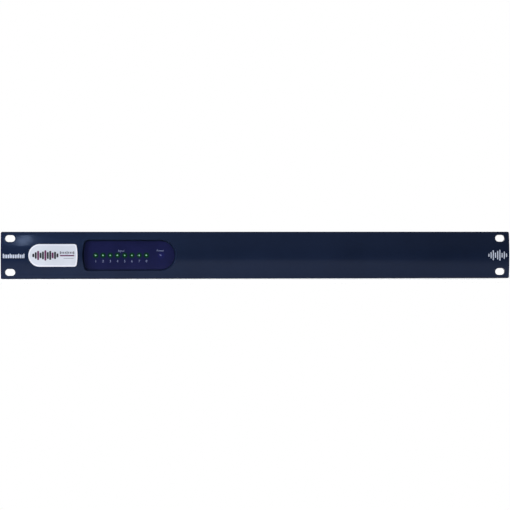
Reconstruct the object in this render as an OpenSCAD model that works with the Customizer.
// Eight-channel microphone preamp in a one-unit, 19 inch rack housing.
// Millimetres. Origin: centre of the four rack slots, on the plane where the
// front panel's back meets the rack rails. The front faces -Y and +Z is up.

/* [Front panel] */
// Width over the rack ears
panel_w = 482.6; // [482:0.1:483]
// Height of one rack unit, less the gap to its neighbours
panel_h = 44.4; // [43.6:0.1:44.4]
// Thickness at mid height, where the face bows out furthest
panel_mid_t = 6; // [5.5:0.1:7]
// Thickness along the top and bottom edges
panel_edge_t = 3.6; // [3:0.1:4]
// Distance between the left and right rack slots
slot_pitch_x = 465.1; // [464.5:0.1:465.5]
// Distance between the upper and lower rack slots
slot_pitch_z = 31.75; // [31.5:0.05:32]
// Length of a rack slot, end to end
slot_len = 9.5; // [9:0.1:10.5]
// Width of a rack slot
slot_w = 6.35; // [6.35:0.05:7]

/* [Display and badge] */
// Centre of the recessed display across the panel
window_x = -121; // [-125:0.5:-117]
// Width of the recess at the face
window_w = 88; // [84:0.5:90]
// Height of the recess at the face
window_h = 29.6; // [28:0.1:31]
// First signal lamp
lamp_x = -152.6; // [-154:0.1:-151]
// Spacing of the signal lamps
lamp_pitch = 6.8; // [6.5:0.1:6.9]
// Power lamp
power_lamp_x = -91.2; // [-94:0.1:-89]
// Centre of the badge across the panel
badge_x = -192.5; // [-194:0.5:-192]
// Width of the badge
badge_w = 45.8; // [44:0.1:47.5]
// Height of the badge
badge_h = 21.2; // [21:0.1:23]

/* [Chassis] */
// Width of the chassis over its covers
chassis_w = 438; // [436:1:440]
// Depth from the rail plane to the rear wall's outside
chassis_d = 220; // [218:1:240]
// Height of the chassis over its covers
chassis_h = 43.2; // [42.8:0.1:43.4]
// Sheet thickness
sheet = 1.2; // [1:0.1:1.2]

/* [Rear panel] */
// Number of microphone channels
channels = 8; // [8]
// First microphone input across the rear
input_x = 10; // [8:1:12]
// Spacing of the microphone inputs
input_pitch = 27; // [26:0.5:27]
// Spacing of the poles in one input plug
pole_pitch = 5.08; // [5.08]
// Phantom power switch bank
phantom_x = 48; // [46:1:50]
// The two link sockets
link_xs = [76, 98];
// Earth stud
earth_x = 124; // [122:1:126]
// Mains rocker switch
rocker_x = 153; // [151:1:154]
// Mains inlet
inlet_x = 188; // [187:1:189]

/* [Hidden] */
$fn = 48;
seal = 0.01;             // how far a cutter runs past the face that it opens
fit = 0.05;              // radial clearance of a screw in its own thread
wire_gap = 0.3;          // between a wire's end and what it is soldered to
fold_r = 2;              // outside radius of the folds in the sheet
screw_r = 1.5;           // M3
small_screw_r = 1.25;    // M2.5
top = chassis_h / 2;
bottom = -chassis_h / 2;
side = chassis_w / 2;
rear_in = chassis_d - sheet;
floor_z = bottom + sheet;
bow = panel_mid_t - panel_edge_t;
bow_r = (pow(panel_h / 2, 2) + bow * bow) / (2 * bow);
panel_corner_r = 1.5;

recess_y = -2.4;         // floor of the display recess
overlay_t = 0.6;
recess_out_y = -6.3;     // where the recess's sloping wall would end in front of the face
recess_flare = 1.1;
tab_end_r = 45;          // of the shallow arc at the blunt end of badge and recess
tab_corner_r = 2.5;
badge_floor_y = -5;
badge_proud = 0.45;
lamp_r = 1;
lamp_xs = [for (i = [0 : channels - 1]) lamp_x + i * lamp_pitch];
display_y = [5, 6.6];
display_x = [window_x - 43, window_x + 45];
display_screw_at = [for (x = [-38, 40]) for (z = [-10.5, 10.5]) [window_x + x, z]];
display_opening = [[window_x - 47, window_x + 51], [-16.5, 16.5]];
panel_screw_at = [for (x = [-205, -55, 75, 205]) for (z = [-13, 13]) [x, z]];

board_z = [-14.4, -12.8];
board_x = [-205, 112];
board_y = [60, 216];
psu_x = [128, 210];
psu_y = [30, 178];
board_screw_at = [for (x = [-195, -95, 5, 105]) for (y = [66, 188]) [x, y]];
psu_screw_at = [for (x = [134, 204]) for (y = [38, 170]) [x, y]];
all_board_screw_at = concat(board_screw_at, psu_screw_at);
side_screw_y = [40, 110, 180];
side_screw_z = -14;
top_screw_at = [for (x = [-150, 0, 125]) for (y = [7.5, chassis_d - 7.5]) [x, y]];
flange_z = [floor_z, -8.5];
flange_y = [20, 200];
lip_depth = 13;
ribbon_w = 12.7;
ribbon_t = 1;
ribbon_x = window_x;
ribbon_bend = 6;
ribbon_drop_y = 78;
ribbon_plug_d = 5.5;

header_w = 17;
header_h = 11;
header_y = [207, chassis_d + 0.4];
header_back = 212;
shroud_w = 15.7;
shroud_z = [-11.6, -3.2];
pin_z = -7.4;
plug_w = 15.24;
plug_z = [-13.6, 1.4];
plug_y = [chassis_d + 0.6, chassis_d + 14];
tongue_w = 15.1;
tongue_z = [-11.3, -3.5];
clamp_y = chassis_d + 5.2;
clamp_r = 1.9;
slider_pitch = 2.54;
slider_z = -6;
slider_travel = 1.9;
rocker_y = chassis_d - 3.2;
rocker_tilt = 8;
rocker_axle_r = 1;
inlet_z = 4.5;
drawer_z = -9.7;

input_xs = [for (i = [0 : channels - 1]) input_x - i * input_pitch];
slider_xs = [for (i = [0 : channels - 1]) phantom_x + (3.5 - i) * slider_pitch];
poles = [-1, 0, 1] * pole_pitch;

// ---------- shared shapes ----------

// A block from pairs of low and high values
module span(x, y, z) {
    translate([x[0], y[0], z[0]])
        cube([x[1] - x[0], y[1] - y[0], z[1] - z[0]]);
}

// A profile drawn as (Y, Z), run along X and centred on x = 0
module along_x(length) {
    rotate([90, 0, 90])
        linear_extrude(length, center = true)
            children();
}

// A profile drawn as (X, Z), run from y[0] to y[1]
module along_y(y) {
    translate([0, y[1], 0])
        rotate([90, 0, 0])
            linear_extrude(y[1] - y[0])
                children();
}

module rod_x(r, x) {
    translate([x[0], 0, 0])
        rotate([0, 90, 0])
            cylinder(r = r, h = x[1] - x[0]);
}

module rod_y(r, y) {
    translate([0, y[0], 0])
        rotate([-90, 0, 0])
            cylinder(r = r, h = y[1] - y[0]);
}

module rod_z(r, z) {
    translate([0, 0, z[0]])
        cylinder(r = r, h = z[1] - z[0]);
}

// A rectangle with true round corners, centred
module round_rect(w, h, r) {
    square([w - 2 * r, h], center = true);
    square([w, h - 2 * r], center = true);
    for (x = [-1, 1], z = [-1, 1])
        translate([x * (w / 2 - r), z * (h / 2 - r)])
            circle(r);
}

// A slot with full round ends, centred
module slot(len, w) {
    square([len - w, w], center = true);
    for (x = [-1, 1])
        translate([x * (len - w) / 2, 0])
            circle(w / 2);
}

// The outline that badge and display share: one end a half circle, towards
// +X, and the other end a shallow bow between two small corners
module tab_outline(w, h, r = tab_corner_r) {
    reach = h / 2 - r;
    end_bow = tab_end_r - sqrt(tab_end_r * tab_end_r - reach * reach);
    hull() {
        translate([(w - h) / 2, 0])
            circle(h / 2, $fn = 96);
        for (z = [-1, 1])
            translate([-w / 2 + end_bow + r, z * reach])
                circle(r, $fn = 32);
        polygon([for (t = [-1 : 0.125 : 1]) [-w / 2 + end_bow * t * t, t * reach]]);
    }
}

// Places children at each [x, z]
module at_xz(points) {
    for (p = points)
        translate([p[0], 0, p[1]])
            children();
}

// Places children at each [x, y]
module at_xy(points) {
    for (p = points)
        translate([p[0], p[1], 0])
            children();
}

// A round tube swept along points, with n sides
function unit(v) = v / norm(v);
function heading(p, i) = unit(p[min(i + 1, len(p) - 1)] - p[max(i - 1, 0)]);
function ring(p, i, r, n) =
    let (d = heading(p, i), u = unit(cross(d, abs(d[2]) > 0.9 ? [1, 0, 0] : [0, 0, 1])), v = cross(d, u))
    [for (k = [0 : n - 1]) p[i] + r * (cos(360 * k / n) * u + sin(360 * k / n) * v)];
module swept_tube(p, r, n = 8) {
    rings = len(p);
    polyhedron(
        points = [for (i = [0 : rings - 1]) each ring(p, i, r, n)],
        faces = concat(
            [[for (k = [0 : n - 1]) k]],
            [for (i = [0 : rings - 2], k = [0 : n - 1])
                [i * n + k, (i + 1) * n + k, (i + 1) * n + (k + 1) % n, i * n + (k + 1) % n]],
            [[for (k = [n - 1 : -1 : 0]) (rings - 1) * n + k]]));
}
// Points on a smooth curve that leaves a with the direction da and reaches b with db
function bend(a, da, b, db, n = 12) =
    [for (i = [0 : n])
        let (t = i / n, s = 1 - t)
        s * s * s * a + 3 * s * s * t * (a + da) + 3 * s * t * t * (b - db) + t * t * t * b];

// ---------- front ----------

// Everything behind the bowed face, moved forward by proud
module behind_face(proud = 0) {
    translate([0, bow_r - panel_mid_t, 0])
        rod_x(bow_r + proud, [-panel_w / 2 - 1, panel_w / 2 + 1], $fn = 480);
}

module front_panel() {
    color([0.13, 0.18, 0.28])
    difference() {
        union() {
            intersection() {
                along_y([-panel_mid_t, 0])
                    round_rect(panel_w, panel_h, panel_corner_r);
                behind_face();
            }
            at_xz(display_screw_at)
                rod_y(3, [-seal, display_y[0]]);
        }
        at_xz([for (x = [-1, 1]) for (z = [-1, 1]) [x * slot_pitch_x / 2, z * slot_pitch_z / 2]])
            along_y([-panel_mid_t - 1, 1])
                slot(slot_len, slot_w);
        hull() {
            along_y([recess_y - seal, recess_y])
                display_outline(-recess_flare);
            along_y([recess_out_y - seal, recess_out_y])
                display_outline(0.3);
        }
        along_y([-panel_mid_t - 1, badge_floor_y])
            badge_outline(0.15);
        at_xz([for (x = concat(lamp_xs, [power_lamp_x])) [x, 0]])
            rod_y(lamp_r + 0.1, [-4, 1]);
        at_xz(panel_screw_at)
            rod_y(screw_r, [-3.4, 1]);
        at_xz(display_screw_at)
            rod_y(small_screw_r, [0.2, display_y[0] + 1]);
    }
}

module display_outline(grow) {
    translate([window_x, 0])
        tab_outline(window_w + 2 * grow, window_h + 2 * grow);
}

module badge_outline(grow) {
    translate([badge_x, 0])
        mirror([1, 0])
            tab_outline(badge_w + 2 * grow, badge_h + 2 * grow);
}

module badge_plate() {
    color([0.8, 0.83, 0.88])
    intersection() {
        along_y([-panel_mid_t - 2, badge_floor_y])
            badge_outline(0);
        behind_face(badge_proud);
    }
}

module display_overlay() {
    color([0.1, 0.11, 0.22])
    difference() {
        along_y([recess_y - overlay_t, recess_y])
            display_outline(-recess_flare - 0.3);
        at_xz([for (x = concat(lamp_xs, [power_lamp_x])) [x, 0]])
            rod_y(lamp_r + 0.1, [-4, 0]);
    }
}

// A clear rod with a flange behind the panel and a domed head in front
module light_pipe() {
    dome = 0.5;
    head_y = recess_y - overlay_t - 0.2;
    tail_y = display_y[0] - 0.9;
    rotate([90, 0, 0])
        rotate_extrude()
            polygon(concat(
                [[0, -tail_y], [lamp_r, -tail_y], [lamp_r, -0.8], [1.8, -0.8], [1.8, 0], [lamp_r, 0]],
                [for (a = [0 : 15 : 90]) [lamp_r * cos(a), -head_y + dome * sin(a)]]));
}

module signal_light_pipes() {
    color([0.55, 0.9, 0.6])
    for (x = lamp_xs)
        translate([x, 0, 0])
            light_pipe();
}

module power_light_pipe() {
    color([0.3, 0.45, 0.95])
    translate([power_lamp_x, 0, 0])
        light_pipe();
}

module display_board() {
    color([0.1, 0.35, 0.2])
    difference() {
        span(display_x, display_y, [-14, 14]);
        at_xz(display_screw_at)
            rod_y(1.4, [0, 10]);
    }
}

module display_leds() {
    color([0.9, 0.9, 0.8])
    for (x = concat(lamp_xs, [power_lamp_x]))
        translate([x, 0, 0])
            span([-1, 1], [display_y[0] - 0.8, display_y[0]], [-0.65, 0.65]);
}

module display_board_screws() {
    color([0.7, 0.7, 0.72])
    at_xz(display_screw_at) {
        rod_y(2.3, [display_y[1], display_y[1] + 1.7]);
        rod_y(small_screw_r - fit, [1, display_y[1]]);
    }
}

module ribbon_connectors() {
    color([0.12, 0.12, 0.13])
    translate([ribbon_x, 0, 0]) {
        span([-8, 8], [display_y[1], display_y[1] + ribbon_plug_d], [-4, 4]);
        span([-8, 8], [ribbon_drop_y - 4, ribbon_drop_y + 4], [board_z[1], -ribbon_bend]);
    }
}

// The flat cable runs back from the display and turns down to the main board
module ribbon_cable() {
    start_y = display_y[1] + ribbon_plug_d;
    turn_y = ribbon_drop_y - ribbon_bend;
    color([0.6, 0.6, 0.64])
    translate([ribbon_x, 0, 0])
        along_x(ribbon_w) {
            translate([start_y, -ribbon_t / 2])
                square([turn_y - start_y, ribbon_t]);
            intersection() {
                translate([turn_y, -ribbon_bend])
                    difference() {
                        circle(ribbon_bend + ribbon_t / 2);
                        circle(ribbon_bend - ribbon_t / 2);
                    }
                translate([turn_y, -ribbon_bend])
                    square(ribbon_bend + ribbon_t);
            }
        }
}

module panel_screws() {
    color([0.7, 0.7, 0.72])
    at_xz(panel_screw_at) {
        rod_y(2.8, [sheet, sheet + 2]);
        rod_y(screw_r - fit, [-3, sheet]);
    }
}

// ---------- chassis ----------

// Bottom, front and rear of the chassis in one folded sheet, with a lip at
// the top of each wall and a flange up each side
module base_tray() {
    color([0.16, 0.16, 0.17])
    difference() {
        union() {
            along_x(chassis_w - 2 * sheet)
                difference() {
                    translate([chassis_d / 2, (top - sheet + bottom) / 2])
                        round_rect(chassis_d, top - sheet - bottom, fold_r);
                    translate([chassis_d / 2, (top - sheet + bottom) / 2])
                        round_rect(chassis_d - 2 * sheet, top - bottom - 3 * sheet, fold_r - sheet);
                    translate([lip_depth, top - 4])
                        square([chassis_d - 2 * lip_depth, 10]);
                }
            for (s = [-1, 1])
                span(s > 0 ? [side - 2 * sheet, side - sheet] : [sheet - side, 2 * sheet - side],
                     flange_y, [floor_z - 0.2, flange_z[1]]);
        }
        front_wall_cuts();
        rear_wall_cuts();
        cover_fold_relief();
        for (y = side_screw_y)
            translate([0, y, side_screw_z])
                rod_x(screw_r, [-side, side]);
        at_xy(top_screw_at)
            rod_z(screw_r, [top - 6, top]);
    }
}

// Room for the inside of the cover's folds, along the tray's top corners
module cover_fold_relief() {
    relief = fold_r - sheet;
    for (s = [0, 1])
        mirror([s, 0, 0])
            span([side - sheet - relief, side], [-1, chassis_d + 1], [top - sheet - relief, top]);
}

module front_wall_cuts() {
    span(display_opening[0], [-1, 4], display_opening[1]);
    at_xz(panel_screw_at)
        rod_y(screw_r + 0.2, [-1, 4]);
}

module rear_wall_cuts() {
    past = [rear_in - 1, chassis_d + 1];
    for (x = input_xs)
        translate([x, 0, 0])
            span([-1, 1] * (header_w / 2 + 0.3), past, [board_z[1] - 0.3, board_z[1] + header_h + 0.3]);
    translate([phantom_x, 0, 0])
        span([-10.3, 10.3], past, [slider_z - 1.8, slider_z + slider_travel + 1.8]);
    for (x = link_xs)
        translate([x, 0, 0])
            span([-8.2, 8.2], past, [board_z[1] - 0.3, 0.9]);
    translate([earth_x, 0, -6])
        rod_y(2.5, past);
    translate([rocker_x, 0, 0])
        span([-6.6, 6.6], past, [-9.7, 9.7]);
    translate([inlet_x, 0, 0])
        span([-13.8, 13.8], past, [-15.4, 15.4]);
}

// Top and both sides in one folded sheet, with cooling slots in the sides
module top_cover() {
    vents = 22;
    vent_y = 47;
    vent_pitch = 6;
    color([0.16, 0.16, 0.17])
    difference() {
        along_y([0, chassis_d])
            difference() {
                translate([0, (top + bottom - 10) / 2])
                    round_rect(chassis_w, top - bottom + 10, fold_r);
                translate([0, (top + bottom - 10) / 2])
                    round_rect(chassis_w - 2 * sheet, top - bottom + 10 - 2 * sheet, fold_r - sheet);
                translate([-chassis_w, bottom - 20])
                    square([2 * chassis_w, 20]);
            }
        along_x(chassis_w + 2)
            for (i = [0 : vents - 1])
                translate([vent_y + i * vent_pitch, 2])
                    rotate(90)
                        slot(16, 2.4);
        for (y = side_screw_y)
            translate([0, y, side_screw_z])
                rod_x(screw_r + 0.2, [-side - 1, side + 1]);
        at_xy(top_screw_at)
            translate([0, 0, top - sheet - seal])
                cylinder(r1 = screw_r + 0.1, r2 = screw_r + 1.35, h = sheet + 2 * seal);
    }
}

module cover_side_screws() {
    color([0.75, 0.75, 0.77])
    for (s = [0, 1])
        mirror([s, 0, 0])
            for (y = side_screw_y)
                translate([0, y, side_screw_z]) {
                    rod_x(2.8, [side, side + 1.8]);
                    rod_x(screw_r - fit, [side - 7, side]);
                }
}

module cover_top_screws() {
    color([0.75, 0.75, 0.77])
    at_xy(top_screw_at) {
        translate([0, 0, top - sheet])
            cylinder(r1 = screw_r - fit, r2 = screw_r + 1.2, h = sheet);
        rod_z(screw_r - fit, [top - sheet - 4, top - sheet]);
    }
}

// ---------- boards ----------

module main_board() {
    color([0.1, 0.35, 0.2])
    difference() {
        span(board_x, board_y, board_z);
        at_xy(board_screw_at)
            rod_z(1.4, [board_z[0] - 1, board_z[1] + 1]);
    }
}

module board_standoffs() {
    color([0.8, 0.7, 0.4])
    at_xy(all_board_screw_at)
        difference() {
            translate([0, 0, floor_z])
                cylinder(d = 6.35, h = board_z[0] - floor_z, $fn = 6);
            rod_z(small_screw_r, [floor_z + 1, board_z[0] + 1]);
        }
}

module board_screws() {
    color([0.75, 0.75, 0.77])
    at_xy(all_board_screw_at) {
        rod_z(2.3, [board_z[1], board_z[1] + 1.7]);
        rod_z(small_screw_r - fit, [board_z[0] - 3.5, board_z[1]]);
    }
}

// A shrouded three-pin header behind its opening in the rear wall
module input_header() {
    difference() {
        span([-1, 1] * header_w / 2, header_y, [board_z[1], board_z[1] + header_h]);
        span([-1, 1] * shroud_w / 2, [header_back, header_y[1] + 1], shroud_z);
    }
    for (x = poles)
        translate([x, 0, pin_z])
            span([-0.5, 0.5], [header_back - 0.1, header_back + 7], [-0.5, 0.5]);
}

module input_headers() {
    color([0.1, 0.33, 0.22])
    for (x = input_xs)
        translate([x, 0, 0])
            input_header();
}

module preamp_chips() {
    color([0.08, 0.08, 0.09])
    for (x = input_xs)
        translate([x, 0, 0]) {
            span([-5, 5], [168, 175.5], [board_z[1], board_z[1] + 2.5]);
            span([-3, 3], [132, 137], [board_z[1], board_z[1] + 1.8]);
        }
}

module coupling_capacitors() {
    color([0.12, 0.13, 0.35])
    for (x = input_xs, dx = [-5.5, 5.5], y = [150, 194])
        translate([x + dx, y, 0])
            rod_z(3.15, [board_z[1], board_z[1] + 11]);
}

module processor_chip() {
    color([0.08, 0.08, 0.09])
    span([40, 68], [120, 148], [board_z[1], board_z[1] + 2.2]);
}

// A shielded eight-contact socket, open to the rear
module link_socket() {
    mouth_y = chassis_d + 0.8;
    difference() {
        span([-8, 8], [203, mouth_y], [board_z[1], board_z[1] + 13.4]);
        translate([0, 0, board_z[1]]) {
            span([-5.9, 5.9], [208, mouth_y + 1], [1.6, 8.4]);
            span([-3.1, 3.1], [208, mouth_y + 1], [8.3, 10.2]);
            span([-1.7, 1.7], [208, mouth_y + 1], [10.1, 11.6]);
        }
    }
}

module link_sockets() {
    color([0.7, 0.71, 0.73])
    for (x = link_xs)
        translate([x, 0, 0])
            link_socket();
}

// ---------- microphone inputs: pluggable screw terminals ----------

module terminal_block(i) {
    color([0.1, 0.5, 0.3])
    translate([input_xs[i - 1], 0, 0])
        difference() {
            union() {
                span([-1, 1] * plug_w / 2, plug_y, plug_z);
                span([-1, 1] * tongue_w / 2, [header_back + 0.4, plug_y[0] + 0.5], tongue_z);
            }
            for (x = poles)
                translate([x, 0, 0]) {
                    span([-0.8, 0.8], [header_back, plug_y[0] + 1], [pin_z - 0.8, pin_z + 0.8]);
                    span([-1.8, 1.8], [plug_y[1] - 7, plug_y[1] + 1], [-10.6, -7]);
                    translate([0, clamp_y, 0])
                        rod_z(clamp_r + 0.15, [-5, plug_z[1] + 1]);
                }
        }
}

module terminal_screws(i) {
    color([0.75, 0.75, 0.77])
    for (x = poles)
        translate([input_xs[i - 1] + x, clamp_y, 0])
            difference() {
                rod_z(clamp_r, [-5, plug_z[1] - 1]);
                span([-3, 3], [-0.35, 0.35], [plug_z[1] - 1.9, plug_z[1]]);
            }
}

// ---------- phantom power switches ----------

module phantom_switch_body() {
    color([0.65, 0.12, 0.12])
    difference() {
        translate([phantom_x, 0, 0])
            span([-10.4, 10.4], [209, rear_in], [board_z[1], slider_z + slider_travel + 2.5]);
        for (x = slider_xs)
            translate([x, 0, 0])
                span([-0.75, 0.75], [rear_in - 2, chassis_d], [slider_z - 0.9, slider_z + slider_travel + 0.9]);
    }
}

module phantom_slider(i) {
    color([0.92, 0.92, 0.9])
    translate([slider_xs[i - 1], 0, slider_z])
        span([-0.6, 0.6], [rear_in - 1.8, chassis_d + 0.3], [-0.8, 0.8]);
}

// ---------- earth and mains ----------

module earth_stud() {
    color([0.8, 0.8, 0.82])
    translate([earth_x, 0, -6]) {
        rod_y(4, [rear_in - 1.6, rear_in]);
        rod_y(2.4, [rear_in, chassis_d]);
        rod_y(2, [chassis_d, chassis_d + 10]);
    }
}

// The socket's opening: a rectangle with its two upper corners cut off
module inlet_mouth(w, h, cut) {
    polygon([[-w / 2, -h / 2], [w / 2, -h / 2], [w / 2, h / 2 - cut], [w / 2 - cut, h / 2],
             [cut - w / 2, h / 2], [-w / 2, h / 2 - cut]]);
}

module power_inlet() {
    face_y = chassis_d + 2.5;
    color([0.07, 0.07, 0.08])
    difference() {
        translate([inlet_x, 0, 0])
            union() {
                along_y([chassis_d, face_y])
                    round_rect(31, 34, 2);
                span([-13.5, 13.5], [192, chassis_d + seal], [-15.1, 15.1]);
            }
        translate([inlet_x, 0, inlet_z])
            along_y([206.5, face_y + 1])
                inlet_mouth(24.4, 16.4, 4.5);
        translate([inlet_x, 0, drawer_z])
            span([-12, 12], [196, face_y + 1], [-4.3, 4.3]);
        blades();
    }
}

// Line, neutral and earth blades
module blades() {
    translate([inlet_x, 0, inlet_z])
        for (p = [[-7, -2], [0, 2], [7, -2]])
            translate([p[0], 0, p[1]])
                span([-1, 1], [185, 221], [-2, 2]);
}

module inlet_pins() {
    color([0.8, 0.8, 0.82])
    blades();
}

module fuse_drawer() {
    color([0.09, 0.09, 0.1])
    translate([inlet_x, 0, drawer_z])
        difference() {
            union() {
                span([-11.7, 11.7], [197, chassis_d + 2.6], [-4, 4]);
                span([-9, 9], [chassis_d + 2, chassis_d + 3.8], [-4, -2.4]);
            }
            for (y = [203, 212])
                span([-10.4, 10.4], [y - 2.8, y + 2.8], [-1.8, 5]);
        }
}

// The fuse in use and its spare
module mains_fuses() {
    color([0.85, 0.87, 0.85])
    for (y = [203, 212])
        translate([inlet_x, y, drawer_z + 0.9])
            rod_x(2.5, [-10, 10]);
}

module power_switch_body() {
    color([0.07, 0.07, 0.08])
    translate([rocker_x, 0, 0])
        difference() {
            union() {
                along_y([chassis_d, chassis_d + 1.8])
                    round_rect(15, 21, 1.2);
                span([-6.4, 6.4], [201, chassis_d + seal], [-9.5, 9.5]);
            }
            span([-5.6, 5.6], [chassis_d - 7, chassis_d + 3], [-8.4, 8.4]);
            translate([0, rocker_y, 0])
                rod_x(rocker_axle_r + 0.05, [-6.2, 6.2]);
        }
}

// The rocker on its axle, with its upper end pressed in
module power_rocker() {
    color([0.1, 0.1, 0.11])
    translate([rocker_x, rocker_y, 0])
        rotate([rocker_tilt, 0, 0])
            union() {
                along_x(10.8)
                    polygon([[-2.6, -3], [-2.6, 3], [2, 7.4], [6.2, 7.4], [4.9, 0], [6.2, -7.4], [2, -7.4]]);
                rod_x(rocker_axle_r, [-6.1, 6.1]);
            }
}

// ---------- power supply ----------

module psu_board() {
    color([0.5, 0.4, 0.15])
    difference() {
        span(psu_x, psu_y, board_z);
        at_xy(psu_screw_at)
            rod_z(1.4, [board_z[0] - 1, board_z[1] + 1]);
    }
}

module psu_transformer() {
    color([0.75, 0.62, 0.2])
    translate([160, 98, board_z[1]]) {
        span([-16, 16], [-8, 8], [0, 24]);
        span([-11, 11], [-14, 14], [4, 20]);
    }
}

module psu_capacitors() {
    color([0.12, 0.13, 0.35])
    for (c = [[180, 140, 9, 25], [146, 66, 5, 16], [160, 66, 5, 16], [174, 66, 5, 16]])
        translate([c[0], c[1], 0])
            rod_z(c[2], [board_z[1], board_z[1] + c[3]]);
}

module psu_heatsink() {
    color([0.6, 0.61, 0.63])
    translate([0, 0, board_z[1]]) {
        span([196, 198], [62, 158], [0, 26]);
        for (y = [66 : 8 : 154])
            span([197, 206], [y, y + 1.6], [6, 26]);
    }
}

// Live and neutral by way of the switch, and the low voltage leads
module mains_wires() {
    up = [0, 0, 6];
    pad_z = board_z[1] + wire_gap;
    color([0.35, 0.2, 0.15]) {
        for (s = [-1, 1])
            swept_tube(bend([rocker_x + 4 * s, 201 - wire_gap, 3], [0, -8, 0],
                            [148 + 8 * s, 172, pad_z], -up), 1.1);
        for (s = [-1, 1])
            swept_tube(bend([inlet_x + 7 * s, 185 - wire_gap, inlet_z - 2], [0, -7, 0],
                            [172 + 8 * s, 170, pad_z], -up), 1.1);
        for (k = [0 : 3])
            swept_tube(bend([140 + 4 * k, 46, pad_z], 2 * up, [104, 84 + 4 * k, pad_z], -2 * up), 0.9);
    }
}

// ---------- nodes ----------

front_panel();
badge_plate();
display_overlay();
signal_light_pipes();
power_light_pipe();
display_board();
display_leds();
display_board_screws();
ribbon_cable();
ribbon_connectors();
panel_screws();
base_tray();
top_cover();
cover_side_screws();
cover_top_screws();
main_board();
board_standoffs();
board_screws();
input_headers();
preamp_chips();
coupling_capacitors();
processor_chip();
link_sockets();
phantom_switch_body();
earth_stud();
power_inlet();
inlet_pins();
fuse_drawer();
mains_fuses();
power_switch_body();
power_rocker();
psu_board();
psu_transformer();
psu_capacitors();
psu_heatsink();
mains_wires();
for (i = [1 : channels]) {
    terminal_block(i);
    terminal_screws(i);
    phantom_slider(i);
}
